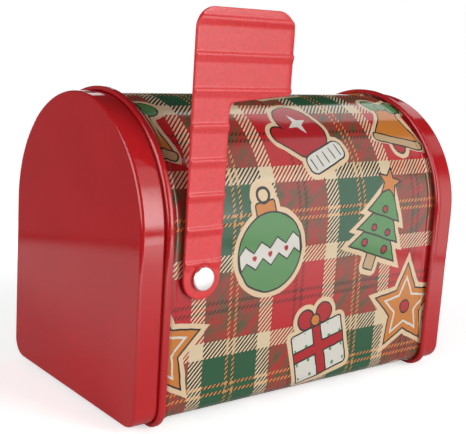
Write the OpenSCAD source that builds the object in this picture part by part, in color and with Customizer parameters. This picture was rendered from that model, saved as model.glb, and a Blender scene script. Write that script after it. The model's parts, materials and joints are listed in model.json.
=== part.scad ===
// Mailbox-shaped tin money box: a printed sleeve between two pressed end caps, with a riveted flag.
// X is across the tin, Y is along it from the front cap to the back cap, and Z is up. The origin is
// on the surface that the tin stands on, under the middle of the sleeve.

/* [Sleeve] */
// Outside width of the sleeve
body_w = 98; // [88:0.5:108]
// Outside height of the sleeve
body_h = 118.7; // [107:0.1:130]
// Length of sleeve left bare between the two rolled rims
body_len = 141; // [127:1:155]
// Outside radius of the sleeve's two lower corners
corner_r = 7; // [6.3:0.1:7.7]
// Thickness of all the tinplate
tin = 0.3; // [0.25:0.01:0.35]
// Length of the hem that is folded inside the sleeve's mouth
hem_len = 5; // [4:0.5:6]
// Width of the lock seam along the floor
seam_w = 5; // [4:0.5:6]
// How far the lock seam stands up inside
seam_h = 0.6; // [0.5:0.05:0.7]
// Width of the seam line outside
seam_line_w = 0.5; // [0.4:0.1:0.6]
// Depth of the seam line outside
seam_line_d = 0.12; // [0.1:0.01:0.15]

/* [Stop beads and grip] */
// Width of each stop bead
bead_w = 2.4; // [2.1:0.1:2.7]
// Height of each stop bead
bead_h = 0.45; // [0.4:0.01:0.5]
// Distance from a rolled rim to the middle of its stop bead
bead_from_rim = 2.4; // [2.1:0.1:2.7]
// Length of the stepped end that grips the back cap
grip_len = 6; // [5:0.5:7]
// Length of the step before the grip
grip_ramp = 1; // [0.8:0.1:1.2]
// Clearance between the grip and the back cap's skirt
grip_gap = 0.05; // [0.04:0.01:0.08]

/* [Coin slot] */
// Length of the coin slot, along the crown
slot_len = 38; // [34:1:42]
// Width of the coin slot
slot_w = 4.8; // [4.4:0.1:5.2]
// Depth of the lip that is turned down round the slot
slot_lip = 1.6; // [1.4:0.1:1.8]

/* [End caps] */
// Depth of a cap's skirt, from its flat face to the rolled rim
skirt_len = 10; // [9:0.5:11]
// Outside radius of the pressed edge round the flat face
face_r = 1.3; // [1.1:0.1:1.5]
// Length of the rolled rim, along the tin
rim_len = 3.1; // [2.8:0.1:3.4]
// How far the rolled rim stands out of the skirt
rim_out = 1.9; // [1.7:0.1:2.1]
// Width of the slit where the rolled rim ends beside the skirt
rim_slit = 0.3; // [0.25:0.01:0.35]
// Clearance between the sleeve and a skirt
cap_gap = 0.35; // [0.3:0.01:0.4]
// Clearance between the sleeve's mouth and the bend of the front cap
mouth_gap = 0.3; // [0.25:0.01:0.4]

/* [Flag] */
// Distance from the front cap's face to the flag's pivot
pivot_back = 26.1; // [24:0.1:28]
// Height of the flag's pivot above the surface that the tin stands on
pivot_up = 58.1; // [53:0.1:63]
// Height of the flag's top edge above its pivot
arm_len = 98; // [90:1:105]
// Width of the flag's arm
arm_w = 16.6; // [15:0.1:18]
// Width of the flag's blade, over the arm
blade_w = 45; // [41:0.5:49]
// Height of the blade beside the arm
blade_root_h = 33.6; // [31:0.1:36]
// Height of the blade at its free end
blade_tip_h = 31; // [28:0.1:33]
// Radius of the flag's two top corners
flag_corner_r = 8; // [7:0.1:9]
// Radius of the blade's lower free corner
tip_r = 1.5; // [1.3:0.1:1.7]
// Radius of the inner corner between arm and blade
armpit_r = 2.8; // [2.5:0.1:3.1]
// Depth of the flange turned back round the flag
flange_h = 1; // [0.9:0.05:1.1]
// Number of pressed ribs across the flag
rib_count = 8; // [7:1:8]
// Distance between two ribs
rib_pitch = 12.6; // [12.2:0.1:12.8]
// Distance from the flag's top edge to the middle of the first rib
rib_first = 4.8; // [4.5:0.1:5.2]
// Width of a rib
rib_w = 4.2; // [3.8:0.1:4.6]
// Height of a rib
rib_h = 1; // [0.9:0.05:1.1]

/* [Rivet stack] */
// Radius of the rivet's shank
shank_r = 2; // [1.8:0.1:2.2]
// Radial clearance round the shank
shank_gap = 0.05; // [0.03:0.01:0.08]
// Radius of the rivet's head
head_r = 4.6; // [4.2:0.1:5]
// Height of the head's rim
head_h = 1.4; // [1.2:0.1:1.6]
// Radius of the head's rounded edge
head_edge_r = 0.7; // [0.6:0.05:0.8]
// Extra height of the head's shallow dome
head_dome = 0.3; // [0.25:0.01:0.35]
// Radius of the hole up the hollow shank
shank_bore_r = 1.3; // [1.1:0.1:1.4]
// Depth of that hole, from the clinched end
shank_bore_len = 3.4; // [3:0.1:3.8]
// Radius of the clinched end
clinch_r = 3.2; // [2.9:0.1:3.5]
// Thickness of the clinched end
clinch_h = 0.8; // [0.7:0.05:0.9]
// Radius of the spacer and of the inner washer
washer_r = 5.2; // [4.8:0.1:5.6]
// Thickness of the spacer between sleeve and flag
spacer_t = 2; // [1.8:0.1:2.2]
// Thickness of the inner washer
washer_t = 0.8; // [0.7:0.05:0.9]
// Play on each side of the flag's sheet
flag_play = 0.05; // [0.04:0.01:0.08]
// Clearance between the rivet's head and the ribs round it
seat_gap = 0.3; // [0.25:0.05:0.4]

/* [Hidden] */

// Segments of the large and of the small round shapes
CROWN_FN = 144;
SMALL_FN = 32;
// How deep two shapes run into each other where they join
EPS = 0.01;
// How far a cut runs past the face that it opens
over = 1;

cap_red = "#a32b30";
tartan_red = "#b0444a";
flag_red = "#e4676a";
steel = "#d8d8d6";
zinc = "#a9abad";

half_w = body_w / 2;
total_len = body_len + 2 * (skirt_len + rim_len);
front_y = -total_len / 2;

// The arch is a half round crown on straight walls, with rounded lower corners.
crown_z = body_h - half_w;

// The skirt's outer surface and the rolled rim, measured out of the sleeve's outer surface.
skirt_x = cap_gap + tin;
rim_r = (rim_out + tin) / 2;
base_z = skirt_x + rim_out;
face_lap = 1;

mouth_y = face_r + mouth_gap;
sleeve_end = total_len - face_r;
grip_y = sleeve_end - grip_len;
grip_x = cap_gap - grip_gap;
bead_r = (bead_w ^ 2 / 4 + bead_h ^ 2) / (2 * bead_h);
bead_ys = [
    skirt_len + rim_len + bead_from_rim,
    skirt_len + rim_len + body_len - bead_from_rim
];

pivot_y = front_y + pivot_back;
flag_x = half_w + spacer_t + flag_play;
head_x = flag_x + tin + flag_play;
washer_x = half_w - tin;
tail_x = washer_x - washer_t - clinch_h;
hole_r = shank_r + shank_gap;
seat_r = head_r + seat_gap;

arm_right = arm_w / 2;
flag_left = -arm_w / 2;
flag_right = flag_left + blade_w;
edge_rise = blade_root_h - blade_tip_h;
edge_run = flag_right - arm_right;
edge_tilt = atan(edge_rise / edge_run);
rib_r = (rib_w ^ 2 / 4 + rib_h ^ 2) / (2 * rib_h);
dome_r = ((head_r - head_edge_r) ^ 2 + head_dome ^ 2) / (2 * head_dome);

// Height of the blade's lower edge above the pivot, at a distance behind the pivot.
function blade_edge(y) = arm_len - blade_root_h + (y - arm_right) * tan(edge_tilt);

// The filled outline of the arch in X and Z, grown outwards by a distance.
module arch(grow) {
    translate([0, crown_z])
        circle(half_w + grow, $fn = CROWN_FN);
    translate([-half_w - grow, corner_r])
        square([body_w + 2 * grow, crown_z - corner_r]);
    for (side = [-1, 1])
        translate([side * (half_w - corner_r), corner_r])
            circle(corner_r + grow, $fn = CROWN_FN);
    translate([corner_r - half_w, -grow])
        square([body_w - 2 * corner_r, corner_r + grow]);
}

// Sweeps a section round the arch. The section's X is the distance out of the sleeve's outer
// surface, and its Y is the distance behind the front cap's face.
module sweep_arch() {
    translate([0, front_y, base_z]) {
        translate([0, 0, crown_z])
            rotate([-90, 0, 0])
                rotate([0, 0, 180])
                    rotate_extrude(angle = 180, $fn = CROWN_FN)
                        translate([half_w, 0])
                            children();
        for (side = [0, 1])
            mirror([side, 0, 0]) {
                translate([half_w, 0, corner_r])
                    linear_extrude(crown_z - corner_r)
                        children();
                translate([half_w - corner_r, 0, corner_r])
                    rotate([-90, 0, 0])
                        rotate_extrude(angle = 90, $fn = CROWN_FN)
                            translate([corner_r, 0])
                                children();
            }
        translate([corner_r - half_w, 0, 0])
            rotate([0, 90, 0])
                linear_extrude(body_w - 2 * corner_r)
                    children();
    }
}

// Places a drawing made in Y and Z, relative to the pivot, at a distance across the tin.
module at_pivot(x) {
    translate([x, pivot_y, pivot_up])
        rotate([90, 0, 90])
            children();
}

// The sleeve's sheet: hemmed mouth, two stop beads, and a stepped end that grips the back cap.
module sleeve_section() {
    difference() {
        union() {
            translate([-tin, mouth_y + tin])
                square([tin, grip_y - grip_ramp - mouth_y - tin]);
            translate([-2 * tin, mouth_y + tin])
                square([2 * tin, hem_len - tin]);
            translate([-tin, mouth_y + tin])
                circle(tin, $fn = SMALL_FN);
            polygon([
                [-tin, grip_y - grip_ramp],
                [0, grip_y - grip_ramp],
                [grip_x, grip_y],
                [grip_x, sleeve_end],
                [grip_x - tin, sleeve_end],
                [grip_x - tin, grip_y]
            ]);
            for (y = bead_ys)
                intersection() {
                    translate([bead_h - bead_r, y])
                        circle(bead_r, $fn = SMALL_FN);
                    translate([-tin, y - bead_w / 2])
                        square([tin + bead_h, bead_w]);
                }
        }
        for (y = bead_ys)
            translate([bead_h - bead_r, y])
                circle(bead_r - tin, $fn = SMALL_FN);
    }
}

// A cap's sheet: the bend round the flat face, the skirt, and the rolled rim with its slit.
module cap_section() {
    difference() {
        intersection() {
            translate([skirt_x - face_r, face_r])
                circle(face_r, $fn = SMALL_FN);
            translate([skirt_x - face_r, 0])
                square(face_r);
        }
        translate([skirt_x - face_r, face_r])
            circle(face_r - tin, $fn = SMALL_FN);
    }
    translate([skirt_x - face_r - face_lap, 0])
        square([face_lap, tin]);
    translate([cap_gap, face_r])
        square([tin, skirt_len + rim_len - rim_r - face_r]);
    difference() {
        rim_outline(rim_r);
        rim_outline(rim_r - tin);
        translate([skirt_x, skirt_len - EPS])
            square([rim_slit, rim_r + EPS]);
    }
}

// The long round outline of the rolled rim, at a radius round its middle line.
module rim_outline(radius) {
    first_y = skirt_len + rim_r;
    last_y = skirt_len + rim_len - rim_r;
    for (y = [first_y, last_y])
        translate([cap_gap + rim_r, y])
            circle(radius, $fn = SMALL_FN);
    translate([cap_gap + rim_r - radius, first_y])
        square([2 * radius, last_y - first_y]);
}

module end_cap() {
    sweep_arch()
        cap_section();
    translate([0, front_y + tin, base_z])
        rotate([90, 0, 0])
            linear_extrude(tin)
                arch(skirt_x - face_r);
}

// A slot with round ends, drawn in X and Y about the middle of the crown.
module slot_outline(grow) {
    straight = slot_len - slot_w;
    for (side = [-1, 1])
        translate([0, side * straight / 2])
            circle(slot_w / 2 + grow, $fn = SMALL_FN);
    translate([-slot_w / 2 - grow, -straight / 2])
        square([slot_w + 2 * grow, straight]);
}

// The flag's outline in Y and Z about its pivot, moved inwards by a distance.
module flag_outline(inset) {
    tip = [flag_right - tip_r, blade_edge(flag_right - tip_r) + tip_r / cos(edge_tilt)];
    pit = [arm_right + armpit_r, blade_edge(arm_right + armpit_r) - armpit_r / cos(edge_tilt)];
    down = [sin(edge_tilt), -cos(edge_tilt)];
    corner = [arm_right - inset, blade_edge(arm_right - inset) + inset / cos(edge_tilt)];
    corners_z = arm_len - flag_corner_r;
    corners_y = [flag_left + flag_corner_r, flag_right - flag_corner_r];
    circle(arm_w / 2 - inset, $fn = 2 * SMALL_FN);
    polygon([
        [flag_left + inset, 0],
        [arm_right - inset, 0],
        corner,
        tip + (tip_r - inset) * down,
        tip,
        [flag_right - inset, tip[1]],
        [flag_right - inset, corners_z],
        [corners_y[1], corners_z],
        [corners_y[1], arm_len - inset],
        [corners_y[0], arm_len - inset],
        [corners_y[0], corners_z],
        [flag_left + inset, corners_z]
    ]);
    translate(tip)
        circle(tip_r - inset, $fn = SMALL_FN);
    for (y = corners_y)
        translate([y, corners_z])
            circle(flag_corner_r - inset, $fn = 2 * SMALL_FN);
    difference() {
        polygon([corner, [arm_right - inset, pit[1]], pit, pit - (armpit_r + inset) * down]);
        translate(pit)
            circle(armpit_r + inset, $fn = SMALL_FN);
    }
}

// The round bars that make the ribs, all lying along Y.
module rib_bars(radius) {
    for (i = [0 : rib_count - 1])
        translate([
            flag_x + tin + rib_h - rib_r,
            pivot_y + flag_left - over,
            pivot_up + arm_len - rib_first - i * rib_pitch
        ])
            rotate([-90, 0, 0])
                cylinder(r = radius, h = blade_w + 2 * over, $fn = 3 * SMALL_FN);
}

// The part of the flag that ribs run across: all of it, moved inwards, but the rivet's flat seat.
module rib_field(inset) {
    at_pivot(flag_x)
        linear_extrude(tin + rib_h + over)
            difference() {
                flag_outline(inset);
                circle(seat_r + inset, $fn = 2 * SMALL_FN);
            }
}

module sleeve() {
    color(tartan_red)
        difference() {
            union() {
                sweep_arch()
                    sleeve_section();
                translate([-seam_w / 2, front_y + mouth_y + hem_len, base_z + tin / 2])
                    cube([seam_w, grip_y - grip_ramp - mouth_y - hem_len, seam_h + tin / 2]);
                translate([0, 0, base_z + body_h - tin - slot_lip])
                    linear_extrude(slot_lip + tin / 2)
                        slot_outline(tin);
            }
            translate([0, 0, base_z + body_h - tin - slot_lip - over])
                linear_extrude(slot_lip + tin + 2 * over)
                    slot_outline(0);
            translate([-seam_line_w / 2, front_y + skirt_len + rim_len, base_z - over])
                cube([seam_line_w, body_len, over + seam_line_d]);
            at_pivot(washer_x - over)
                cylinder(r = hole_r, h = tin + 2 * over, $fn = SMALL_FN);
        }
}

module front_cap() {
    color(cap_red)
        end_cap();
}

module back_cap() {
    color(cap_red)
        mirror([0, 1, 0])
            end_cap();
}

module flag() {
    color(flag_red)
        difference() {
            union() {
                at_pivot(flag_x)
                    linear_extrude(tin)
                        flag_outline(0);
                at_pivot(flag_x - flange_h)
                    linear_extrude(flange_h)
                        difference() {
                            flag_outline(0);
                            flag_outline(tin);
                        }
                intersection() {
                    rib_bars(rib_r);
                    rib_field(0);
                }
            }
            intersection() {
                rib_bars(rib_r - tin);
                translate([-EPS, 0, 0])
                    rib_field(tin);
            }
            at_pivot(flag_x - over)
                cylinder(r = hole_r, h = tin + 2 * over, $fn = SMALL_FN);
        }
}

module pivot_rivet() {
    color(steel)
        difference() {
            union() {
                at_pivot(tail_x)
                    cylinder(r = shank_r, h = head_x - tail_x + EPS, $fn = 2 * SMALL_FN);
                at_pivot(head_x)
                    rotate_extrude($fn = 2 * SMALL_FN) {
                        square([head_r, head_h - head_edge_r]);
                        square([head_r - head_edge_r, head_h]);
                        intersection() {
                            translate([head_r - head_edge_r, head_h - head_edge_r])
                                circle(head_edge_r, $fn = SMALL_FN);
                            square([head_r, head_h]);
                        }
                    }
                at_pivot(head_x)
                    intersection() {
                        translate([0, 0, head_h + head_dome - dome_r])
                            sphere(dome_r, $fn = 8 * SMALL_FN);
                        translate([0, 0, head_h - EPS])
                            cylinder(r = head_r - head_edge_r, h = head_dome + over, $fn = 2 * SMALL_FN);
                    }
                at_pivot(tail_x)
                    cylinder(r = clinch_r, h = clinch_h, $fn = 2 * SMALL_FN);
            }
            at_pivot(tail_x - over)
                cylinder(r = shank_bore_r, h = shank_bore_len + over, $fn = SMALL_FN);
        }
}

// A flat ring round the shank.
module ring(x, thickness) {
    at_pivot(x)
        difference() {
            cylinder(r = washer_r, h = thickness, $fn = 2 * SMALL_FN);
            translate([0, 0, -over])
                cylinder(r = hole_r, h = thickness + 2 * over, $fn = SMALL_FN);
        }
}

module flag_spacer() {
    color(zinc)
        ring(half_w, spacer_t);
}

module inner_washer() {
    color(zinc)
        ring(washer_x - washer_t, washer_t);
}

sleeve();
front_cap();
back_cap();
flag();
pivot_rivet();
flag_spacer();
inner_washer();
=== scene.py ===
import json
import math

import bpy
from mathutils import Matrix, Vector

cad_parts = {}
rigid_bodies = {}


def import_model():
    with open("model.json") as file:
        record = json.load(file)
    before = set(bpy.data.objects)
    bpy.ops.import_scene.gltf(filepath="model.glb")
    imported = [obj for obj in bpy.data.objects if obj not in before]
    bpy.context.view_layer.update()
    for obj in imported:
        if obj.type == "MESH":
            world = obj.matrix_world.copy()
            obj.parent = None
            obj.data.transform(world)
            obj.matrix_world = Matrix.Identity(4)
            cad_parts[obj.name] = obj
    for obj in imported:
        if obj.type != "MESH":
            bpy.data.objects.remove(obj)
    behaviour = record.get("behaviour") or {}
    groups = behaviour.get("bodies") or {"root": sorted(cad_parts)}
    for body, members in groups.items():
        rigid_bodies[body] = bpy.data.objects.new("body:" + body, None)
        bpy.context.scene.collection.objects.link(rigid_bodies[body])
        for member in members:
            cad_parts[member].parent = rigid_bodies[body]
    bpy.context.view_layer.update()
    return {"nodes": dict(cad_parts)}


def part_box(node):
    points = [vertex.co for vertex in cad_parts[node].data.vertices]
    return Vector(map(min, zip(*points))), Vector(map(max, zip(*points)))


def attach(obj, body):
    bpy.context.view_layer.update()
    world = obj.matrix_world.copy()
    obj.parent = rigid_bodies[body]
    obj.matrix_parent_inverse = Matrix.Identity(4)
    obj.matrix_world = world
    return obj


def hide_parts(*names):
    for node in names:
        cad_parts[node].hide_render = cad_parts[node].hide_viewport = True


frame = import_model()
cadNodes = frame["nodes"]
mm = 0.001

# The tin's own measures, in millimetres. The rest of them come from the frame.
tin = {
    "beadHeight": 0.45,  # how far a stop bead stands out of the sleeve
    "cornerRadius": 7,  # lower corners of the sleeve
    "sheet": 0.3,
    "capReach": 0.65,  # from the sleeve's surface to the skirt's surface
    "capBend": 1.3,  # outer bend round a cap's face
    "flagHeadroom": 98,  # from the flag's pivot to its top edge
    "pivotBack": 26.1,  # from the front cap's face to the pivot
}
sleeveLow, sleeveHigh = (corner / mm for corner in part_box("sleeve"))
flagLow, flagHigh = (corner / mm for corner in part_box("flag"))
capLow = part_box("front_cap")[0] / mm
tin["halfWidth"] = sleeveHigh.x - tin["beadHeight"]
tin["top"] = sleeveHigh.z - tin["beadHeight"]
tin["bottom"] = sleeveLow.z + tin["beadHeight"]
tin["crownZ"] = tin["top"] - tin["halfWidth"]
tin["halfLength"] = -capLow.y
tin["pivotY"] = capLow.y + tin["pivotBack"]
tin["pivotZ"] = flagHigh.z - tin["flagHeadroom"]


class Wire:
    # One value in a material's node tree. The usual signs on it add Math nodes.
    def __init__(self, tree, socket=None):
        self.tree = tree
        self.socket = socket

    def node(self, kind, settings=None, values=None, out=0):
        made = self.tree.nodes.new("ShaderNode" + kind)
        for name, value in (settings or {}).items():
            if name == "stops":
                self.setStops(made.color_ramp, value)
            elif name == "hold":
                made.color_ramp.interpolation = "CONSTANT"
            else:
                setattr(made, name, value)
        for name, value in (values or {}).items():
            if isinstance(value, Wire):
                self.tree.links.new(value.socket, made.inputs[name])
            else:
                made.inputs[name].default_value = value
        return Wire(self.tree, made.outputs[out])

    def setStops(self, ramp, stops):
        while len(ramp.elements) > 1:
            ramp.elements.remove(ramp.elements[0])
        for index, (place, tone) in enumerate(stops):
            stop = ramp.elements[0] if index == 0 else ramp.elements.new(place)
            stop.position = place
            stop.color = tone

    def math(self, operation, *others):
        return self.node("Math", {"operation": operation}, dict(enumerate((self, *others))))

    def __add__(self, other):
        return self.math("ADD", other)

    def __radd__(self, other):
        return self.math("ADD", other)

    def __sub__(self, other):
        return self.math("SUBTRACT", other)

    def __rsub__(self, other):
        return self.node("Math", {"operation": "SUBTRACT"}, {0: other, 1: self})

    def __mul__(self, other):
        return self.math("MULTIPLY", other)

    def __rmul__(self, other):
        return self.math("MULTIPLY", other)

    def __truediv__(self, other):
        return self.math("DIVIDE", other)

    def __lt__(self, other):
        return self.math("LESS_THAN", other)

    def __gt__(self, other):
        return self.math("GREATER_THAN", other)

    def __abs__(self):
        return self.math("ABSOLUTE")

    def most(self, other):
        return self.math("MAXIMUM", other)

    def least(self, other):
        return self.math("MINIMUM", other)

    def between(self, low, high):
        # 0 up to low, 1 from high on, and a smooth rise from one to the other
        ends = {0: self, 1: low, 2: high}
        return self.node("MapRange", {"interpolation_type": "SMOOTHSTEP"}, ends)


def span(a, b):
    # the distance of (a, b) from zero
    joined = a.node("CombineXYZ", values={0: a, 1: b})
    return joined.node("VectorMath", {"operation": "LENGTH"}, {0: joined}, out=1)


def blendColours(mask, first, second):
    return mask.node("Mix", {"data_type": "RGBA"}, {0: mask, 6: first, 7: second}, out=2)


def colour(red, green, blue):
    # a colour given as it looks on a screen, 0 to 255
    def linear(part):
        part = part / 255
        return part / 12.92 if part <= 0.04045 else ((part + 0.055) / 1.055) ** 2.4

    return (linear(red), linear(green), linear(blue), 1)


def newMaterial(name):
    material = bpy.data.materials.new(name)
    material.use_nodes = True
    tree = material.node_tree
    shader = next(n for n in tree.nodes if n.type == "BSDF_PRINCIPLED")
    return material, Wire(tree), shader


def feed(wire, shader, socketName):
    wire.tree.links.new(wire.socket, shader.inputs[socketName])


def splitAxes(place):
    split = place.node("SeparateXYZ", values={0: place})
    return [Wire(place.tree, output) for output in split.socket.node.outputs]


def onPiece(base):
    # where the surface is on the piece, in metres
    return base.node("TexCoord", out=3)


def objectPlace(base):
    # x, y and z on the piece, in millimetres
    return [axis / mm for axis in splitAxes(onPiece(base))]


def noise(base, scale, detail):
    return base.node("TexNoise", values={"Vector": onPiece(base), "Scale": scale, "Detail": detail})


def deselect():
    if bpy.context.object and bpy.context.object.mode == "EDIT":
        bpy.ops.object.mode_set(mode="OBJECT")
    bpy.ops.object.select_all(action="DESELECT")


def paint(obj, material):
    obj.data.materials.clear()
    obj.data.materials.append(material)


view = {
    "turn": 51.55,  # degrees round the tin, from the front
    "tilt": 11.376,
    "roll": 3.668,
    "aim": (0, 0, 61.9),
    "slide": (3.102, -4.771),  # across and up in the picture
    "distance": 422.7,
    "lens": 73.32,
    "nearest": 10,  # what is closer than this isn't drawn
}


def setCamera():
    turn, tilt, roll = (math.radians(view[name]) for name in ("turn", "tilt", "roll"))
    flat = math.cos(tilt)
    back = Vector((math.sin(turn) * flat, -math.cos(turn) * flat, math.sin(tilt)))
    level = Vector((math.cos(turn), math.sin(turn), 0))
    upright = back.cross(level)
    right = math.cos(roll) * level + math.sin(roll) * upright
    up = math.cos(roll) * upright - math.sin(roll) * level
    across, rise = view["slide"]
    place = Vector(view["aim"]) + back * view["distance"] - right * across - up * rise
    data = bpy.data.cameras.new("camera")
    data.lens = view["lens"]
    data.clip_start = view["nearest"] * mm
    camera = bpy.data.objects.new("camera", data)
    bpy.context.collection.objects.link(camera)
    turned = Matrix((right, up, back)).transposed().to_4x4()
    camera.matrix_world = Matrix.Translation(place * mm) @ turned
    bpy.context.scene.camera = camera


studio = {
    "skyLow": 0.36,  # light from all round, near the horizon
    "skyHigh": 0.03,  # and from straight above
    "skyTurn": (-10, 80),  # it changes from here to here, in degrees up
    "gloom": 0.03,  # light between the soft boxes
    # each soft box: degrees round from the front, degrees up, softness, strength
    "boxes": {
        "front": ((-25, 38), (-2, 42), 5, 2.1),
        "frontLeft": ((-88, -30), (-60, 40), 5, 0.17),
        "right": ((104, 125.5), (-0.8, 44), 4, 7.6),
        "rightBack": ((124, 143), (-14, 29), 2, 1.7),
        "overBack": ((-168, -144), (27, 48), 1.5, 1.25),
        "farBack": ((141, 170), (31, 49), 2, 0.85),
        "leftBack": ((-150, -92), (-30, 6), 2, 1.2),
    },
    # soft boxes that only the enamel mirrors
    "sheen": {
        "rightGlow": ((126, 140), (27, 45), 4, 1.3),
        "rightLow": ((104, 125), (-20, -7.4), 1.8, 3.3),
        "horizon": ((104, 125), (-11.5, -7.4), 1.8, 1.8),
        "crestSpark": ((-122.6, -117), (15, 23), 0.8, 1.6),
        "edgeSpark": ((-20, 36), (0, 42), 5, 3),
    },
}

# The floor, in metres. Each pair of measures is where a tone starts to change and where it has.
ground = {
    "radius": 0.33,
    "sides": 96,
    "drop": 0.0002,  # keeps it clear of the rims
    "roughness": 0.9,
    "specular": 0.1,
    "tone": 0.8,
    "ownLight": 0.6,  # makes it pale for the camera
    "whiteFrom": (0.18, 0.27),  # from here on it is as white as what lies behind it
    # what the enamel mirrors of it
    "fade": (0.29, 0.33),  # it grows dark
    "beside": (0.1, 0.2),  # but not on the flag's side
    "behind": (0.1, 0.16),  # unless it is behind the tin
    "ahead": (0.1, 0.16),
    "aheadLight": 0.16,
    "ring": (0.08, 0.33),  # it shines more on the flag's side
    "ringSide": (0.02, 0.16),
    "ringLight": 1.2,
    "farRing": (0.25, 0.33),
    "farLight": 1.6,
}


def within(value, low, high, soft):
    inside = value.between(low - soft, low + soft)
    return inside * (1 - value.between(high - soft, high + soft))


def rayKinds(base):
    # what the camera sees, also through glass, and what something glossy mirrors
    lightPath = base.node("LightPath")
    outputs = lightPath.socket.node.outputs
    direct, through, mirrored = [
        Wire(base.tree, outputs[name])
        for name in ("Is Camera Ray", "Is Transmission Ray", "Is Glossy Ray")]
    return direct.most(through), mirrored


def addFloor():
    bpy.ops.mesh.primitive_circle_add(
        vertices=ground["sides"], radius=ground["radius"], fill_type="NGON",
        location=(0, 0, -ground["drop"]))
    floor = bpy.context.object
    floor.name = "floor"
    material, base, shader = newMaterial("floor")
    shader.inputs["Roughness"].default_value = ground["roughness"]
    shader.inputs["Specular IOR Level"].default_value = ground["specular"]
    shader.inputs["Emission Strength"].default_value = 1
    seen, mirrored = rayKinds(base)
    x, y = [axis * mm for axis in objectPlace(base)[:2]]
    away = span(x, y)
    beside = x.between(*ground["beside"]) * (1 - y.between(*ground["behind"]))
    ahead = (0 - y).between(*ground["ahead"]) * ground["aheadLight"]
    shown = (1 - away.between(*ground["fade"])).most(beside)
    ring = away.between(*ground["ring"]) * x.between(*ground["ringSide"]) * ground["ringLight"]
    farRing = away.between(*ground["farRing"]) * beside * ground["farLight"]
    pale = away.between(*ground["whiteFrom"]) * (1 - ground["ownLight"]) + ground["ownLight"]
    # For the camera the floor glows pale and keeps the tin's shadow. In reflections it also glows,
    # brighter in a ring on the flag's side and ahead of the tin: painted light for the enamel to
    # mirror. Its colour darkens towards its rim, except on the flag's side: painted shade for the
    # same reflections.
    feed(shown * ground["tone"], shader, "Base Color")
    feed(seen * pale + mirrored * shown * (ring + farRing + ahead), shader, "Emission Color")
    paint(floor, material)


def setWorld():
    world = bpy.data.worlds.new("studio")
    bpy.context.scene.world = world
    world.use_nodes = True
    tree = world.node_tree
    base = Wire(tree)
    x, y, z = splitAxes(base.node("TexCoord", out=0))
    turned = x.math("ARCTAN2", 0 - y) * math.degrees(1)
    raised = z.math("ARCSINE") * math.degrees(1)

    def shine(boxes, light):
        for turns, rises, soft, strength in boxes.values():
            light = within(turned, *turns, soft) * within(raised, *rises, soft) * strength + light
        return light

    seen, mirrored = rayKinds(base)
    light = shine(studio["boxes"], studio["gloom"]) + mirrored * shine(studio["sheen"], 0)
    fall = studio["skyHigh"] - studio["skyLow"]
    sky = raised.between(*studio["skyTurn"]) * fall + studio["skyLow"]
    strength = seen + (1 - seen) * (light + (1 - mirrored) * sky)
    background = next(n for n in tree.nodes if n.type == "BACKGROUND")
    background.inputs["Color"].default_value = (1, 1, 1, 1)
    tree.links.new(strength.socket, background.inputs["Strength"])


setCamera()
setWorld()
addFloor()
print("stage: camera, light and floor are set")


def sleeveDistance(x, z):
    # how far a point lies outside the sleeve's surface, in millimetres
    half, corner = tin["halfWidth"], tin["cornerRadius"]
    side = abs(x)
    upper = span(side, (z - tin["crownZ"]).most(0)) - half
    below = (tin["bottom"] + corner - z).most(0)
    lower = span((side - (half - corner)).most(0), below) - corner
    return upper.most(lower)


def sleeveGirth(x, z):
    # the distance round the sleeve from the middle of the crown, positive on the flag's side
    half, corner = tin["halfWidth"], tin["cornerRadius"]
    cornerZ = tin["bottom"] + corner
    side = abs(x)
    crown = side.math("ARCTAN2", (z - tin["crownZ"]).most(0)) * half
    wall = (tin["crownZ"] - z).most(0).least(tin["crownZ"] - cornerZ)
    below = (cornerZ - z).most(0)
    turn = below.math("ARCTAN2", (side - (half - corner)).most(0)) * corner
    floor = ((half - corner) - side).most(0) * (z < cornerZ)
    return x.math("SIGN") * (crown + wall + turn + floor)


enamel = {
    "print": {
        "rough": 0.07,
        "smudged": 0.05,  # what a smudge adds to the roughness
        "peelScale": 240.0,  # the fine ripple of the varnish
        "peelHeight": 0.012,  # in millimetres
        "peelDetail": 2.0,
        "peelRough": 0.5,
    },
    "cap": {
        "tone": colour(180, 28, 33),
        "patchScale": 45.0,
        "patchy": 0.035,  # how far a patch is lighter or darker
        "rough": 0.06,
        "smudged": 0.06,
        "peelScale": 260.0,
        "peelHeight": 0.012,
        "peelDetail": 2.0,
        "peelRough": 0.5,
    },
    "flag": {
        "tone": colour(210, 46, 50),
        "patchScale": 700.0,
        "patchy": 0.07,
        "rough": 0.22,
        "smudged": 0.12,
        "peelScale": 950.0,
        "peelHeight": 0.06,
        "peelDetail": 3.0,
        "peelRough": 0.6,
    },
    "bare": {  # the tin within, which has no enamel
        "tone": colour(226, 226, 221),
        "patchScale": 120.0,
        "patchy": 0.07,
        "rough": 0.42,
        "smudged": 0.1,
        "metallic": 0.15,
    },
    "patchDetail": 3.0,
    "patchEdge": (0.3, 0.7),
    "smudgeDetail": 4.0,
    "sheetSmudge": 60.0,
    "flagSmudge": 90.0,
}


def unevenColour(base, name):
    # the surface's tone, a little lighter and darker in soft patches
    coat = enamel[name]
    amount = coat["patchy"]
    patches = noise(base, coat["patchScale"], enamel["patchDetail"])
    darker = [part * (1 - amount) for part in coat["tone"][:3]] + [1]
    lighter = [min(part * (1 + amount), 1) for part in coat["tone"][:3]] + [1]
    return blendColours(patches.between(*enamel["patchEdge"]), darker, lighter)


def smudgedRoughness(smudge, name):
    return enamel[name]["rough"] + smudge * enamel[name]["smudged"]


def ripple(base, name):
    coat = enamel[name]
    waves = base.node("TexNoise", values={
        "Vector": onPiece(base), "Scale": coat["peelScale"], "Detail": coat["peelDetail"],
        "Roughness": coat["peelRough"]})
    height = coat["peelHeight"] * mm
    return base.node("Bump", values={"Strength": 1.0, "Distance": height, "Height": waves})


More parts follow.
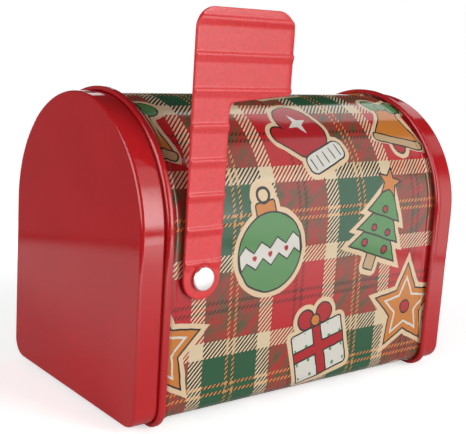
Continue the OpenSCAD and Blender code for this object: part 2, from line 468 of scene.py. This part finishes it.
def coatSheet(base, shader, outside, coat, bare, name):
    # the coat on the outside of the sheet, and bare tin on its inside
    feed(blendColours(outside, bare, coat), shader, "Base Color")
    feed((1 - outside) * enamel["bare"]["metallic"], shader, "Metallic")
    smudge = noise(base, enamel["sheetSmudge"], enamel["smudgeDetail"])
    inner, outer = smudgedRoughness(smudge, "bare"), smudgedRoughness(smudge, name)
    feed(inner * (1 - outside) + outside * outer, shader, "Roughness")
    feed(ripple(base, name), shader, "Normal")


plaid = {
    "sett": 66.4,  # one red and one green band, with their cream stripes
    "redMiddleAlong": -7.1,  # where a red band's middle lies along the tin
    "redMiddleRound": 37.8,  # and round it
    "creamHalf": 3.3,
    "lineGap": 1.65,  # from the band's middle to a thin line's middle
    "pineHalf": 0.75,
    "goldHalf": 0.62,
    "twill": 2.0,  # pitch of the slanting threads
    "pineCover": 0.8,  # how well a pine line hides what it crosses
    "softTwill": 0.22,  # how far the threads show where red crosses green
    "cloud": (5, 11),  # the size of that crossing's streaks, over the threads and along them
    "mottle": 1.6,
    "red": colour(178, 33, 39),
    "green": colour(38, 84, 56),
    "pine": colour(60, 32, 28),
    "cream": colour(208, 188, 156),
    "gold": colour(182, 138, 82),
    "shade": (0.78, 0.12, 0.14, 1),  # tints the darker thread beside a pale one
    # 1 where threads look crisp, 0 where they look soft, and pine has a mark of its own
    "crispness": {"red": 0, "green": 0, "pine": 0.4, "cream": 1, "gold": 1},
    "crispFrom": 0.9,
    "markSlack": 0.1,
}


def threads(place, middle):
    # the colour of the threads that run across this direction, and how crisp they look
    half = plaid["sett"] / 2
    fromRed = (place - middle).math("PINGPONG", half) / half
    gap, pine, gold, cream = (plaid[k] for k in ("lineGap", "pineHalf", "goldHalf", "creamHalf"))
    order = [
        (0, "red"), ((gap - pine) / half, "pine"), ((gap + pine) / half, "red"),
        ((half / 2 - cream) / half, "cream"), ((half / 2 + cream) / half, "green"),
        (1 - (gap + gold) / half, "gold"), (1 - (gap - gold) / half, "green"),
    ]
    stops = []
    for spot, name in order:
        shown = "red" if name == "pine" else name  # the pine lines are laid on later
        stops.append((spot, (*plaid[shown][:3], plaid["crispness"][name])))
    ramp = fromRed.node("ValToRGB", {"stops": stops, "hold": True}, {0: fromRed})
    return ramp, Wire(ramp.tree, ramp.socket.node.outputs["Alpha"])


def pineIn(crisp):
    return abs(crisp - plaid["crispness"]["pine"]) < plaid["markSlack"]


def tartan(along, girth):
    warp, warpCrisp = threads(along, plaid["redMiddleAlong"])
    weft, weftCrisp = threads(girth, plaid["redMiddleRound"])
    twill = ((along + girth) / plaid["twill"]).math("FRACT") < 0.5
    wide, long = plaid["cloud"]
    slant = along.node("CombineXYZ", values={0: (along + girth) / wide, 1: (along - girth) / long})
    cloud = slant.node(
        "TexNoise", {"noise_dimensions": "2D"}, {"Vector": slant, "Scale": 1.0, "Detail": 1.0})
    streaks = (cloud - 0.5) * plaid["mottle"] + 0.5
    soft = twill * plaid["softTwill"] + (1 - plaid["softTwill"]) * streaks
    crossing = warpCrisp.most(weftCrisp) > plaid["crispFrom"]
    woven = blendColours(crossing * twill + (1 - crossing) * soft, warp, weft)
    dashes = pineIn(warpCrisp) * (1 - twill) + pineIn(weftCrisp) * twill
    woven = blendColours(dashes * plaid["pineCover"], woven, plaid["pine"])
    paleHere = warpCrisp + twill * (weftCrisp - warpCrisp)
    shade = crossing * (1 - paleHere)
    return woven.node("Mix", {"data_type": "RGBA", "blend_type": "MULTIPLY"},
                      {0: shade, 6: woven, 7: plaid["shade"]}, out=2)


stickers = {
    "repeat": 132.8,  # the stickers come round again after two setts
    "border": 2.3,
    "ink": 0.36,  # half the outline's width
    "wobble": 0.9,  # how far a line strays, as if drawn by hand
    "wobbleScale": 160.0,
    "cream": colour(212, 186, 152),
    "inkTone": colour(40, 36, 34),
    "white": colour(206, 203, 194),
    "red": colour(166, 34, 40),
    "green": colour(84, 133, 80),
    "ochre": colour(192, 118, 50),
    "tan": colour(180, 150, 112),
}


def stickerPlace(along, girth, place):
    # across and up on the sticker, from its middle
    middleAlong, middleRound, turn = place
    half = stickers["repeat"] / 2
    across = (along - middleAlong).math("WRAP", half, -half)
    down = (girth - middleRound).math("WRAP", half, -half)
    c, s = math.cos(math.radians(turn)), math.sin(math.radians(turn))
    return across * c - down * s, across * -s - down * c


# Each of these gives the distance of (u, v) from a shape's edge, less than 0 inside it.
# A shape's own middle is (cu, cv).
def disc(u, v, cu, cv, radius):
    return span(u - cu, v - cv) - radius


def block(u, v, cu, cv, halfWide, halfTall, radius):
    wide = (abs(u - cu) - (halfWide - radius)).most(0)
    return span(wide, (abs(v - cv) - (halfTall - radius)).most(0)) - radius


def rod(u, v, start, end, radius):
    du, dv = end[0] - start[0], end[1] - start[1]
    long = du * du + dv * dv
    u, v = u - start[0], v - start[1]
    share = (u * (du / long) + v * (dv / long)).most(0).least(1)
    return span(u - share * du, v - share * dv) - radius


def peak(u, v, top, foot, slope):
    # a triangle that stands on its foot, with sides that lean by slope degrees
    c, s = math.cos(math.radians(slope)), math.sin(math.radians(slope))
    return (abs(u) * c + (v - top) * s).most(foot - v)


def rayed(u, v, cu, cv, points, outer, inner):
    # a star with its first point up
    u, v = u - cu, v - cv
    wedge = math.pi / points
    angle = u.math("ARCTAN2", v).math("PINGPONG", wedge)
    reach = span(u, v)
    px, py = reach * angle.math("COSINE"), reach * angle.math("SINE")
    dx, dy = inner * math.cos(wedge) - outer, inner * math.sin(wedge)
    long = math.hypot(dx, dy)
    return (px - outer) * (dy / long) - py * (dx / long)


def lay(under, distance, tone):
    # one inked shape over what is there already
    inked = blendColours(distance < stickers["ink"], under, stickers["inkTone"])
    return blendColours(distance < -stickers["ink"], inked, stickers[tone])


def fill(under, distance, tone):
    return blendColours(distance < 0, under, stickers[tone])


def backed(under, *distances):
    joined = distances[0]
    for distance in distances[1:]:
        joined = joined.least(distance)
    return fill(under, joined - stickers["border"], "cream")


# In each sticker, place is its middle, along the tin and round it, and its turn in degrees.
# The shapes' numbers are those of disc, block, rod, peak or rayed, in millimetres.
mitten = {
    "place": (4, 36, 22),
    "hand": (1, 3, 10, 13, 9),
    "thumb": ((-7, -5), (-13, 4), 4.6),
    "cuff": (1, -13.5, 11.5, 4.4, 3.6),
    "spark": (1, 5, 4, 6, 2.2),
    "ribMiddle": 1,
    "ribPitch": 2.1,
    "ribHalf": 0.28,
    "ribInset": 1.6,
}


def drawMitten(under, u, v):
    hand = block(u, v, *mitten["hand"]).least(rod(u, v, *mitten["thumb"]))
    cuff = block(u, v, *mitten["cuff"])
    under = lay(backed(under, hand, cuff), hand, "red")
    under = fill(under, rayed(u, v, *mitten["spark"]), "white")
    under = lay(under, cuff, "white")
    wave = (u - mitten["ribMiddle"]).math("PINGPONG", mitten["ribPitch"])
    ribs = abs(wave) - mitten["ribHalf"]
    return fill(under, ribs.most(cuff + mitten["ribInset"]), "inkTone")


bell = {
    "place": (59, 32, -14),
    "waist": 5.5,  # half the width above the flare
    "flare": 7.5,
    "flareRise": (-12, 6),
    "top": 10,
    "mouth": -11,
    "shoulders": (0, -6, 17.6),
    "lip": (0, -10.4, 14, 2.1, 2),
    "clapper": (0, -13, 3.6),
    "bow": (5.4, 13, 4.6),
    "knot": (0, 12.6, 2.8),
}


def drawBell(under, u, v):
    halfWide = bell["waist"] + (1 - v.between(*bell["flareRise"])) * bell["flare"]
    body = (abs(u) - halfWide).most(v - bell["top"]).most(bell["mouth"] - v)
    body = body.most(disc(u, v, *bell["shoulders"]))
    clapper = disc(u, v, *bell["clapper"])
    bow = disc(abs(u), v, *bell["bow"])
    knot = disc(u, v, *bell["knot"])
    under = lay(backed(under, body, clapper, bow), clapper, "red")
    under = lay(under, body, "ochre")
    under = lay(under, block(u, v, *bell["lip"]), "tan")
    return lay(lay(under, bow, "green"), knot, "green")


bauble = {
    "place": (-24, 82, 10),
    "ball": (0, -3, 16),
    "cap": (0, 14.4, 5, 3, 1.2),
    "ring": (0, 20, 3),
    "ringHalf": 0.6,
    "waveHalf": 4,  # half of one wave's length
    "waveSlope": 0.9,
    "bandMiddle": -3,
    "bandHalf": 3.4,
    "bandInset": 0.5,
    "dotRadius": 1.1,
    "dotWave": 0.4,  # how far the dots follow the wave
    "dotInset": 2,
}


def drawBauble(under, u, v):
    ball = disc(u, v, *bauble["ball"])
    cap = block(u, v, *bauble["cap"])
    ring = abs(disc(u, v, *bauble["ring"])) - bauble["ringHalf"]
    under = lay(backed(under, ball, cap, ring - bauble["ringHalf"]), cap, "ochre")
    under = lay(fill(under, ring, "inkTone"), ball, "green")
    half = bauble["waveHalf"]
    wave = (u.math("PINGPONG", half) - half / 2) * bauble["waveSlope"]
    fromBand = v - bauble["bandMiddle"]
    band = abs(fromBand - wave) - bauble["bandHalf"]
    under = lay(under, band.most(ball + bauble["bandInset"]), "white")
    dots = span(u.math("WRAP", half, -half), fromBand - wave * bauble["dotWave"])
    dots = (dots - bauble["dotRadius"]).most(ball + bauble["dotInset"])
    return fill(under, dots, "red")


fir = {
    "place": (38, 78, -18),
    "trunk": (0, -17, 3, 4, 0.8),
    "tiers": ((5, -14, 38), (12, -6, 36), (18, 3, 34)),  # from the lowest up
    "topStar": (0, 18, 5, 5.6, 2.6),
    "starPlump": 0.5,
    "lowBeads": (6.5, -10.5, 1.7),
    "midBeads": (4.5, -3, 1.5),
    "midShift": 1,
    "topBead": (0, 6, 1.5),
}


def drawFir(under, u, v):
    trunk = block(u, v, *fir["trunk"])
    tiers = [peak(u, v, *tier) for tier in fir["tiers"]]
    under = lay(backed(under, *tiers, trunk), trunk, "tan")
    for tier in tiers:
        under = lay(under, tier, "green")
    under = lay(under, rayed(u, v, *fir["topStar"]) - fir["starPlump"], "ochre")
    beads = disc(abs(u), v, *fir["lowBeads"])
    beads = beads.least(disc(abs(u - fir["midShift"]), v, *fir["midBeads"]))
    return lay(under, beads.least(disc(u, v, *fir["topBead"])), "red")


gift = {
    "place": (6, 126, 14),
    "box": (0, -4, 14, 11, 1.6),
    "bow": (5, 11.5, 4.4),
    "knot": (0, 9.6, 2.6),
    "spotHalf": 3.2,  # half the way from spot to spot
    "spotRadius": 0.8,
    "spotInset": 1,
    "ribbonMiddle": -3,
    "ribbonHalf": 2.3,
}


def drawGift(under, u, v):
    box = block(u, v, *gift["box"])
    bow = disc(abs(u), v, *gift["bow"])
    under = lay(backed(under, box, bow), box, "white")
    half = gift["spotHalf"]
    spots = span(u.math("WRAP", half, -half), v.math("WRAP", half, -half)) - gift["spotRadius"]
    under = fill(under, spots.most(box + gift["spotInset"]), "green")
    upright = abs(u) - gift["ribbonHalf"]
    level = abs(v - gift["ribbonMiddle"]) - gift["ribbonHalf"]
    under = lay(under, upright.least(level).most(box), "red")
    under = lay(under, bow, "red")
    return lay(under, disc(u, v, *gift["knot"]), "ochre")


star = {
    "place": (58, 118, 0),
    "body": (0, 0, 5, 17, 8.6),
    "plump": 1.4,
    "pipingInset": 3,
    "pipingHalf": 0.45,
    "heart": (0, 0, 3),
}


def drawStar(under, u, v):
    body = rayed(u, v, *star["body"]) - star["plump"]
    under = lay(backed(under, body), body, "ochre")
    under = fill(under, abs(body + star["pipingInset"]) - star["pipingHalf"], "white")
    return lay(under, disc(u, v, *star["heart"]), "red")


def makePrint():
    material, base, shader = newMaterial("tartanPrint")
    x, y, z = objectPlace(base)
    girth = sleeveGirth(x, z)
    printed = tartan(y, girth)
    stray = noise(base, stickers["wobbleScale"], 1.0)
    drift = (stray - 0.5) * stickers["wobble"]
    draws = ((mitten, drawMitten), (bell, drawBell), (bauble, drawBauble),
             (fir, drawFir), (gift, drawGift), (star, drawStar))
    for sticker, draw in draws:
        printed = draw(printed, *stickerPlace(y + drift, girth - drift, sticker["place"]))
    outside = sleeveDistance(x, z) > -tin["sheet"] / 2
    coatSheet(base, shader, outside, printed, unevenColour(base, "bare"), "print")
    return material


def makeCapEnamel():
    material, base, shader = newMaterial("capEnamel")
    x, y, z = objectPlace(base)
    bend = tin["capBend"]
    out = (sleeveDistance(x, z) + (bend - tin["capReach"])).most(0)
    forward = (bend - (tin["halfLength"] - abs(y))).most(0)
    outside = span(out, forward) > bend - tin["sheet"] / 2
    red = unevenColour(base, "cap")
    coatSheet(base, shader, outside, red, enamel["bare"]["tone"], "cap")
    return material


def makeFlagEnamel():
    material, base, shader = newMaterial("flagEnamel")
    feed(unevenColour(base, "flag"), shader, "Base Color")
    smudge = noise(base, enamel["flagSmudge"], enamel["smudgeDetail"])
    feed(smudgedRoughness(smudge, "flag"), shader, "Roughness")
    feed(ripple(base, "flag"), shader, "Normal")
    return material


# The flag, in millimetres. Heights and rows are over its pivot.
flagShape = {
    "armWidth": 16.6,
    "bladeWidth": 45,  # over the arm
    "rootHeight": 33.6,  # of the blade, beside the arm
    "tipHeight": 31,  # of the blade, at its free end
    "armpit": 2.8,
    "tipCorner": 1.5,
    "topCorner": 8,
    # the cuts that round each kind of corner
    "armpitCuts": 8,
    "tipCuts": 6,
    "topCuts": 14,
    "footCuts": 16,
    "ribs": 8,
    "ribPitch": 12.6,
    "firstRib": 4.8,  # from the top edge to the first rib's middle
    "ribHeight": 0.62,
    "crestUp": 0.9,  # from a rib's middle up to its crest
    "slopeAbove": 1.2,
    "slopeBelow": 3.2,
    "seat": 4.9,  # flat round the rivet
    "seatEdge": 1.2,
    # where the sheet is cut into rows and columns
    "footRows": range(-7, 3),
    "ribRow": 0.35,  # rows this close make a rib's curve
    "rowsByRib": 8,
    "seatColumn": 0.6,
    "columnsBySeat": 10,
    "armColumns": (-7.2, 7.2),
    "bladeColumns": range(10, 36, 3),
    "edgeBend": 0.4,
    "edgeRows": (0.3, 0.7),  # shares of the bend's width, from the edge inwards
    "edgeDrops": (0.72, 0.28),  # shares of its depth
    "flange": 1,
    "firstDrop": 0.5,  # of the flange, before its rim is made flat
    "hole": 2.05,
    "punchDepth": 6,
    "punchSides": 48,
    "trim": 0.04,  # keeps the outline on the sheet it is pressed from
    "hair": 0.001,  # keeps the foot's two round corners from meeting
    "near": 0.01,  # a point this close to a spot is on it
    "speck": 0.004,  # points closer than this are one
    "sharpFrom": 40,  # degrees from one face to the next across a sharp edge
}


def pick(obj, test):
    # selects the vertices that pass the test, whose place is given in millimetres
    if obj.mode == "EDIT":
        bpy.ops.object.mode_set(mode="OBJECT")
    for part in (obj.data.polygons, obj.data.edges, obj.data.vertices):
        part.foreach_set("select", [False] * len(part))
    for vertex in obj.data.vertices:
        vertex.select = test(vertex.co / mm)
    bpy.ops.object.mode_set(mode="EDIT")
    bpy.ops.mesh.select_mode(type="VERT")


def shift(x, y, z):
    bpy.ops.transform.translate(value=(x * mm, y * mm, z * mm))


def grow(x, y, z):
    step = (x * mm, y * mm, z * mm)
    bpy.ops.mesh.extrude_region_move(TRANSFORM_OT_translate={"value": step})


def flatten(x):
    bpy.ops.transform.resize(value=(0, 1, 1), center_override=(x * mm, 0, 0))


def roundOff(radius, segments):
    bpy.ops.mesh.bevel(
        offset=radius * mm, segments=segments, affect="VERTICES", clamp_overlap=False)


def applyModifier(obj, kind, **settings):
    modifier = obj.modifiers.new(kind.lower(), kind)
    for name, value in settings.items():
        setattr(modifier, name, value)
    bpy.ops.object.modifier_apply(modifier=modifier.name)


def flagOutline(pivot):
    # the flag's flat outline, with its face on the pivot's plane
    f = flagShape
    trim = f["trim"]
    half = f["armWidth"] / 2 - trim
    deselect()
    bpy.ops.mesh.primitive_plane_add(
        size=2 * half * mm, location=pivot * mm, rotation=(0, math.radians(90), 0))
    flag = bpy.context.object
    flag.name = "signal_flag"
    bpy.ops.object.transform_apply(location=True, rotation=True, scale=True)
    root = tin["flagHeadroom"] - f["rootHeight"] + trim
    top = tin["flagHeadroom"] - trim
    tipY = f["bladeWidth"] - f["armWidth"] / 2 - trim
    tipFoot = root + f["rootHeight"] - f["tipHeight"]

    def near(y, z):
        spot = Vector((pivot.y + y, pivot.z + z))
        return lambda place: (place.yz - spot).length < f["near"]

    pick(flag, lambda place: place.z > pivot.z)
    shift(0, 0, root - half)
    grow(0, 0, top - root)
    pick(flag, lambda place: place.y > pivot.y and place.z > pivot.z + root - 1)
    grow(0, tipY - half, 0)
    pick(flag, near(tipY, root))
    shift(0, 0, f["rootHeight"] - f["tipHeight"])
    bpy.ops.mesh.select_all(action="SELECT")
    bpy.ops.mesh.dissolve_faces()
    for spot in ((-half, root), (half, top)):
        pick(flag, near(*spot))
        bpy.ops.mesh.dissolve_verts()
    corners = (
        ((half, root), f["armpit"] + trim, f["armpitCuts"]),
        ((tipY, tipFoot), f["tipCorner"] - trim, f["tipCuts"]),
        ((tipY, top), f["topCorner"] - trim, f["topCuts"]),
        ((-half, top), f["topCorner"] - trim, f["topCuts"]),
    )
    for spot, radius, segments in corners:
        pick(flag, near(*spot))
        roundOff(radius, segments)
    pick(flag, lambda place: place.z < pivot.z)
    roundOff(half - f["hair"], f["footCuts"])
    bpy.ops.mesh.select_all(action="SELECT")
    bpy.ops.mesh.remove_doubles(threshold=f["speck"] * mm)
    return flag


def ribShare(place):
    # how much of a rib's height the sheet has here: steep above the crest, long below it
    f = flagShape
    down = tin["pivotZ"] + tin["flagHeadroom"] - f["firstRib"] - place.z
    rib = min(max(round(down / f["ribPitch"]), 0), f["ribs"] - 1)
    below = down - rib * f["ribPitch"] + f["crestUp"]
    reach = f["slopeBelow"] if below > 0 else f["slopeAbove"]
    share = 0.5 + 0.5 * math.cos(math.pi * min(abs(below) / reach, 1))
    fromRivet = (place.yz - Vector((tin["pivotY"], tin["pivotZ"]))).length
    seat = min(max((fromRivet - f["seat"]) / f["seatEdge"], 0), 1)
    return share * seat * seat * (3 - 2 * seat)


def cutRow(z):
    bpy.ops.mesh.select_all(action="SELECT")
    bpy.ops.mesh.bisect(plane_co=(0, 0, (tin["pivotZ"] + z) * mm), plane_no=(0, 0, 1))


def cutColumn(y):
    bpy.ops.mesh.select_all(action="SELECT")
    bpy.ops.mesh.bisect(plane_co=(0, (tin["pivotY"] + y) * mm, 0), plane_no=(0, 1, 0))


def cutSheet():
    f = flagShape
    rows = [*f["footRows"]]
    for rib in range(f["ribs"]):
        middle = tin["flagHeadroom"] - f["firstRib"] - rib * f["ribPitch"]
        count = f["rowsByRib"]
        rows += [middle + step * f["ribRow"] for step in range(-count, count + 1)]
        rows.append(middle - f["ribPitch"] / 2)
    for row in rows:
        cutRow(row)
    count = f["columnsBySeat"]
    columns = [step * f["seatColumn"] for step in range(-count, count + 1)]
    for column in [*columns, *f["armColumns"], *f["bladeColumns"]]:
        cutColumn(column)


def turnEdgeBack():
    # rounds the sheet's edge and draws the flange out of it
    f = flagShape
    bend = f["edgeBend"]
    bpy.ops.object.mode_set(mode="EDIT")
    bpy.ops.mesh.select_all(action="SELECT")
    bpy.ops.mesh.select_mode(type="FACE")
    bpy.ops.mesh.region_to_loop()
    bpy.ops.mesh.select_mode(type="VERT")
    outerDrop, innerDrop = f["edgeDrops"]
    shift(-outerDrop * bend, 0, 0)
    bpy.ops.mesh.select_more()
    shift(-innerDrop * bend, 0, 0)
    bpy.ops.mesh.select_all(action="SELECT")
    bpy.ops.mesh.region_to_loop()
    grow(-f["firstDrop"], 0, 0)
    flatten(flagLow.x)
    bpy.ops.object.mode_set(mode="OBJECT")


def punchHole(flag, pivot):
    f = flagShape
    bpy.ops.mesh.primitive_cylinder_add(
        vertices=f["punchSides"], radius=f["hole"] * mm, depth=f["punchDepth"] * mm,
        rotation=(0, math.radians(90), 0), location=pivot * mm)
    punch = bpy.context.object
    deselect()
    bpy.context.view_layer.objects.active = flag
    flag.select_set(True)
    applyModifier(flag, "BOOLEAN", object=punch, operation="DIFFERENCE", solver="EXACT")
    bpy.data.objects.remove(punch)
    bpy.ops.object.mode_set(mode="EDIT")
    bpy.ops.mesh.select_all(action="SELECT")
    bpy.ops.mesh.remove_doubles(threshold=f["speck"] * mm)
    bpy.ops.mesh.quads_convert_to_tris(quad_method="SHORTEST_DIAGONAL", ngon_method="BEAUTY")
    bpy.ops.mesh.dissolve_degenerate(threshold=f["speck"] * mm)
    bpy.ops.object.mode_set(mode="OBJECT")


def makeFlag():
    f = flagShape
    pivot = Vector((flagLow.x + f["flange"], tin["pivotY"], tin["pivotZ"]))
    flag = flagOutline(pivot)
    bpy.ops.mesh.select_all(action="SELECT")
    for share in f["edgeRows"]:
        bpy.ops.mesh.inset(thickness=share * f["edgeBend"] * mm)
    cutSheet()
    bpy.ops.object.mode_set(mode="OBJECT")
    pressed = flag.vertex_groups.new(name="ribs")
    for vertex in flag.data.vertices:
        pressed.add([vertex.index], ribShare(vertex.co / mm), "REPLACE")
    applyModifier(flag, "DISPLACE", direction="X", mid_level=0, strength=f["ribHeight"] * mm,
                  vertex_group="ribs")
    turnEdgeBack()
    applyModifier(flag, "SOLIDIFY", thickness=tin["sheet"] * mm, offset=-1)
    punchHole(flag, pivot)
    bpy.ops.object.shade_smooth_by_angle(angle=math.radians(f["sharpFrom"]))
    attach(flag, "flag")
    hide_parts("flag")
    return flag


metals = {
    "rivetNickel": {"tone": colour(240, 240, 238), "roughness": 0.3},
    "washerZinc": {"tone": colour(170, 172, 174), "roughness": 0.35},
    "speckScale": 1500.0,
    "speckDetail": 3.0,
    "speckRough": 0.06,
}


def makeMetal(name):
    material, base, shader = newMaterial(name)
    speck = noise(base, metals["speckScale"], metals["speckDetail"])
    shader.inputs["Base Color"].default_value = metals[name]["tone"]
    shader.inputs["Metallic"].default_value = 1
    feed(metals[name]["roughness"] + speck * metals["speckRough"], shader, "Roughness")
    return material


signalFlag = makeFlag()
print("stage: the flag is pressed")

capEnamel = makeCapEnamel()
zinc = makeMetal("washerZinc")
paint(cadNodes["sleeve"], makePrint())
paint(cadNodes["front_cap"], capEnamel)
paint(cadNodes["back_cap"], capEnamel)
paint(signalFlag, makeFlagEnamel())
paint(cadNodes["pivot_rivet"], makeMetal("rivetNickel"))
paint(cadNodes["flag_spacer"], zinc)
paint(cadNodes["inner_washer"], zinc)
print("stage: every surface is painted")

bpy.context.scene.view_settings.view_transform = "Standard"
